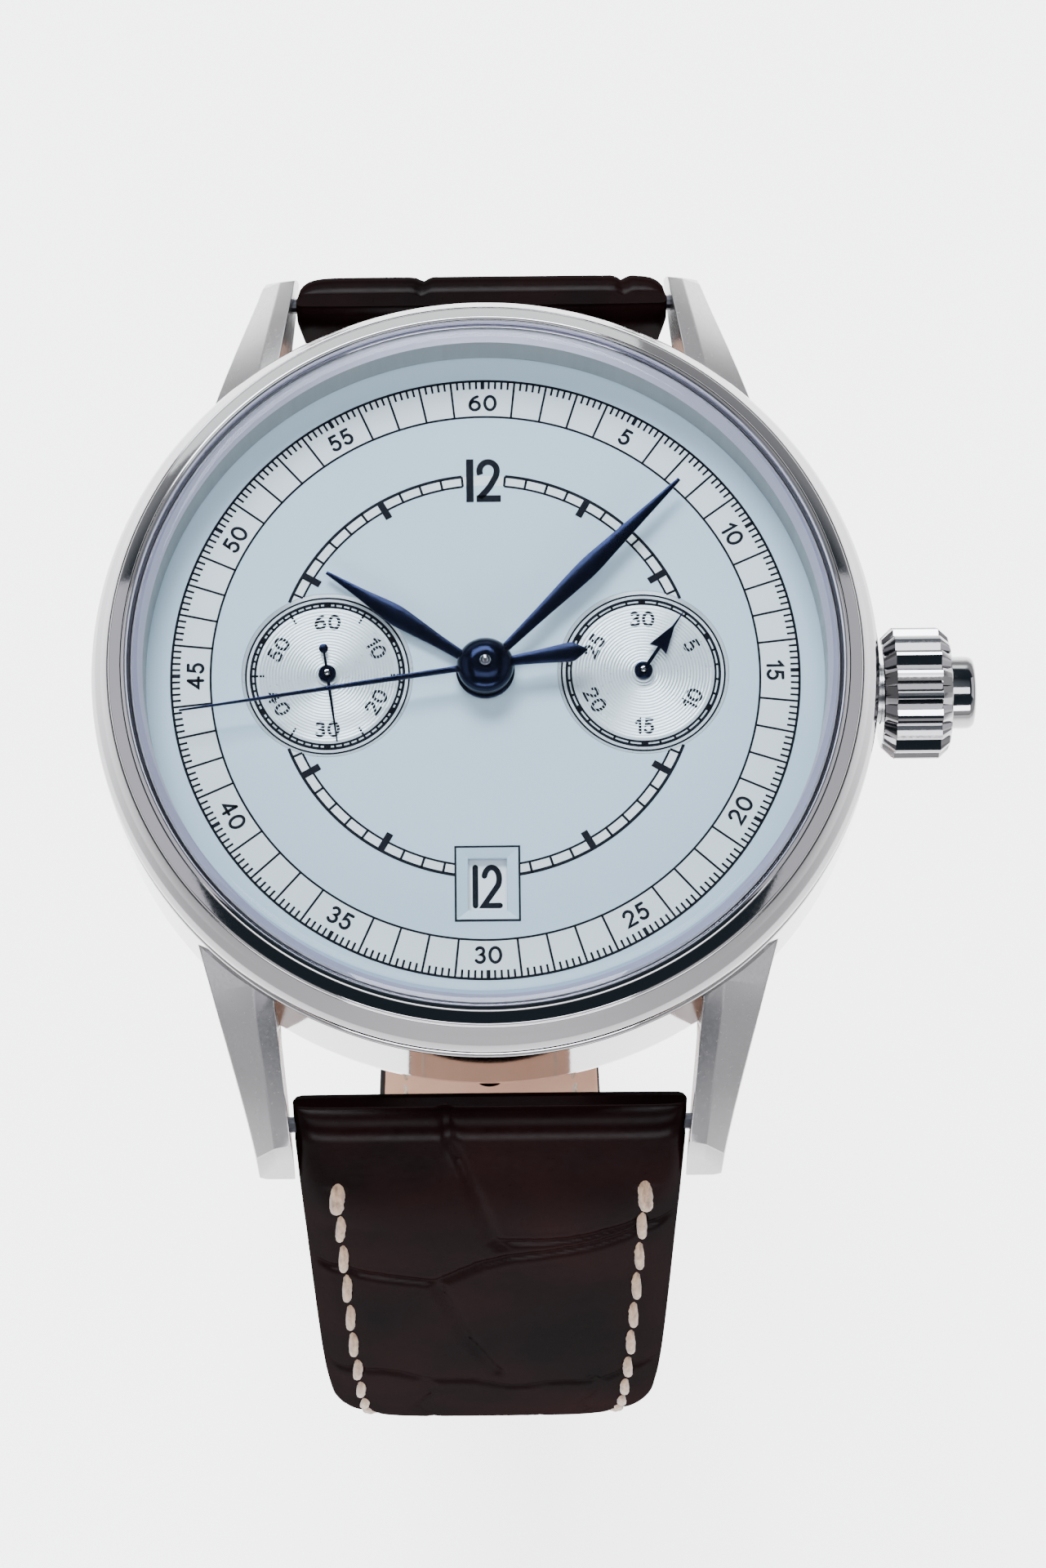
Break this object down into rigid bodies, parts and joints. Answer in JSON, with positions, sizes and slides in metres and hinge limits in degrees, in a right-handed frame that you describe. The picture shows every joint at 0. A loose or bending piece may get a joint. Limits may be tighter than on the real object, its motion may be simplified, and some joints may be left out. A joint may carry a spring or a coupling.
{
  "type": "monopusher chronograph wristwatch",
  "caption": "Round steel chronograph wristwatch with one push-piece in the crown, two subdials, a date window and an open padded leather strap with a pin buckle.",
  "frame": {"origin": "centre of the case back's outer flat face", "axes": "+Z out through the crystal, +X to the crown at 3 o'clock, +Y to 12 o'clock"},
  "size_m": [0.0453, 0.0629, 0.1103],
  "materials": {
    "polished_steel": "mirror-polished steel",
    "brushed_steel": "fine vertical brushing",
    "blued_steel": "polished, thermally blued",
    "dial_enamel": "smooth white lacquer",
    "silvered": "silvered, fine concentric turning",
    "sapphire": "clear, polished",
    "gilt_brass": "gilded, satin",
    "rhodium": "rhodium-plated, striped",
    "black_rubber": "matt",
    "white_seal": "translucent seal",
    "alligator": "glossy dark-brown grained leather with pale stitching"
  },
  "bodies": {
    "head": {"mid_case": "polished_steel", "bezel": "polished_steel", "crystal": "sapphire", "crystal_gasket": "white_seal", "rehaut_ring": "brushed_steel", "case_back_ring": "polished_steel", "case_back_window": "sapphire", "case_back_gasket": "black_rubber", "crown_tube": "polished_steel", "spring_bar_12": "polished_steel", "spring_bar_6": "polished_steel", "dial": "dial_enamel", "small_seconds_subdial": "silvered", "minute_counter_subdial": "silvered", "movement_ring": "brushed_steel", "main_plate": "rhodium", "barrel_bridge": "rhodium", "train_bridge": "rhodium", "balance_cock": "rhodium", "automatic_bridge": "rhodium", "rotor_bearing": "polished_steel", "bridge_screw_1": "blued_steel", "bridge_screw_2": "blued_steel", "bridge_screw_3": "blued_steel", "bridge_screw_4": "blued_steel"},
    "minute": {"cannon_pinion": "polished_steel", "minute_hand": "blued_steel"},
    "hour": {"hour_wheel": "gilt_brass", "hour_hand": "blued_steel"},
    "motion": {"minute_wheel": "gilt_brass"},
    "date": {"date_disc": "dial_enamel"},
    "barrel": {"mainspring_barrel": "gilt_brass"},
    "centre": {"centre_wheel": "gilt_brass"},
    "third": {"third_wheel": "gilt_brass"},
    "fourth": {"fourth_wheel": "gilt_brass", "small_seconds_hand": "blued_steel"},
    "escape": {"escape_wheel": "gilt_brass"},
    "fork": {"pallet_fork": "polished_steel"},
    "balance": {"balance_wheel": "gilt_brass", "hairspring": "blued_steel"},
    "columns": {"column_wheel": "polished_steel"},
    "chrono": {"chronograph_wheel": "gilt_brass", "chrono_seconds_hand": "blued_steel"},
    "counter": {"minute_counter_wheel": "gilt_brass", "minute_counter_hand": "blued_steel"},
    "lever": {"operating_lever": "polished_steel"},
    "rotor": {"rotor": "rhodium"},
    "winding": {"sliding_pinion": "brushed_steel"},
    "crown": {"crown": "polished_steel", "winding_stem": "polished_steel", "push_spring": "polished_steel"},
    "pusher": {"push_piece": "polished_steel"},
    "strap_12_side": {"strap_12": "alligator", "keeper_fixed": "alligator", "buckle_bar": "polished_steel"},
    "strap_6_side": {"strap_6": "alligator"},
    "keeper": {"keeper_free": "alligator"},
    "buckle": {"buckle_frame": "polished_steel"},
    "tongue": {"buckle_tongue": "polished_steel"}
  },
  "joints": [
    {"name": "minute_hand_turn", "type": "hinge", "parent": "head", "child": "minute", "pos_m": [0, 0, 0.0109], "axis": [0, 0, -1], "continuous": true},
    {"name": "hour_hand_turn", "type": "hinge", "parent": "head", "child": "hour", "pos_m": [0, 0, 0.0104], "axis": [0, 0, -1], "continuous": true},
    {"name": "minute_wheel_turn", "type": "hinge", "parent": "head", "child": "motion", "pos_m": [0, -0.0034, 0.0091], "axis": [0, 0, -1], "continuous": true},
    {"name": "date_turn", "type": "hinge", "parent": "head", "child": "date", "pos_m": [0, 0, 0.0092], "axis": [0, 0, -1], "continuous": true},
    {"name": "small_seconds_turn", "type": "hinge", "parent": "head", "child": "fourth", "pos_m": [-0.00805, 0, 0.006], "axis": [0, 0, -1], "continuous": true},
    {"name": "third_wheel_turn", "type": "hinge", "parent": "head", "child": "third", "pos_m": [-0.00426, -0.00128, 0.0066], "axis": [0, 0, -1], "continuous": true},
    {"name": "centre_wheel_turn", "type": "hinge", "parent": "head", "child": "centre", "pos_m": [0, 0, 0.0072], "axis": [0, 0, -1], "continuous": true},
    {"name": "barrel_turn", "type": "hinge", "parent": "head", "child": "barrel", "pos_m": [0.00203, 0.00559, 0.006], "axis": [0, 0, -1], "continuous": true},
    {"name": "escape_wheel_turn", "type": "hinge", "parent": "head", "child": "escape", "pos_m": [-0.0087, -0.00369, 0.007], "axis": [0, 0, -1], "continuous": true},
    {"name": "pallet_fork_swing", "type": "hinge", "parent": "head", "child": "fork", "pos_m": [-0.00743, -0.0059, 0.007], "axis": [0, 0, -1], "range_deg": [-5, 5]},
    {"name": "balance_swing", "type": "hinge", "parent": "head", "child": "balance", "pos_m": [-0.00573, -0.00885, 0.006], "axis": [0, 0, -1], "range_deg": [-280, 280], "stiffness_Nm_per_rad": 0.00000014},
    {"name": "column_wheel_turn", "type": "hinge", "parent": "head", "child": "columns", "pos_m": [0.0086, -0.0076, 0.0044], "axis": [0, 0, -1], "continuous": true},
    {"name": "chrono_seconds_turn", "type": "hinge", "parent": "head", "child": "chrono", "pos_m": [0, 0, 0.0114], "axis": [0, 0, -1], "continuous": true},
    {"name": "minute_counter_turn", "type": "hinge", "parent": "head", "child": "counter", "pos_m": [0.00805, 0, 0.0042], "axis": [0, 0, -1], "continuous": true},
    {"name": "rotor_turn", "type": "hinge", "parent": "head", "child": "rotor", "pos_m": [0, 0, 0.0028], "axis": [0, 0, -1], "continuous": true},
    {"name": "crown_turn", "type": "hinge", "parent": "head", "child": "winding", "pos_m": [0.012, 0, 0.0059], "axis": [1, 0, 0], "continuous": true},
    {"name": "crown_pull", "type": "slide", "parent": "winding", "child": "crown", "axis": [1, 0, 0], "range_m": [0, 0.0016]},
    {"name": "push", "type": "slide", "parent": "crown", "child": "pusher", "axis": [-1, 0, 0], "range_m": [0, 0.001], "stiffness_N_per_m": 300, "springref_m": -0.003, "deforming": ["push_spring"]},
    {"name": "operating_lever_swing", "type": "hinge", "parent": "head", "child": "lever", "pos_m": [0.0116, -0.0048, 0.0046], "axis": [0, 0, 1], "range_deg": [0, 12.2]},
    {"name": "strap_12_hinge", "type": "hinge", "parent": "head", "child": "strap_12_side", "pos_m": [0, 0.0223, 0.0054], "axis": [1, 0, 0], "range_deg": [-6, 60]},
    {"name": "strap_6_hinge", "type": "hinge", "parent": "head", "child": "strap_6_side", "pos_m": [0, -0.0223, 0.0054], "axis": [-1, 0, 0], "range_deg": [-3, 60]},
    {"name": "keeper_slide", "type": "slide", "parent": "strap_12_side", "child": "keeper", "axis": [0, -0.3506, -0.9365], "range_m": [-0.001, 0.0035]},
    {"name": "buckle_hinge", "type": "hinge", "parent": "strap_12_side", "child": "buckle", "pos_m": [0, 0.0174, -0.0687], "axis": [1, 0, 0], "range_deg": [-30, 40]},
    {"name": "tongue_hinge", "type": "hinge", "parent": "buckle", "child": "tongue", "pos_m": [0, 0.0174, -0.0687], "axis": [1, 0, 0], "range_deg": [0, 80]}
  ],
  "couplings": [
    {"joint": "hour_hand_turn", "follows": "minute_hand_turn", "ratio": 0.083333},
    {"joint": "minute_wheel_turn", "follows": "minute_hand_turn", "ratio": -0.33333},
    {"joint": "third_wheel_turn", "follows": "small_seconds_turn", "ratio": -0.13333},
    {"joint": "centre_wheel_turn", "follows": "small_seconds_turn", "ratio": 0.016667},
    {"joint": "barrel_turn", "follows": "small_seconds_turn", "ratio": -0.0027778},
    {"joint": "escape_wheel_turn", "follows": "small_seconds_turn", "ratio": -12},
    {"joint": "minute_counter_turn", "follows": "chrono_seconds_turn", "ratio": 0.033333},
    {"joint": "operating_lever_swing", "follows": "push", "rad_per_m": 208.3}
  ]
}
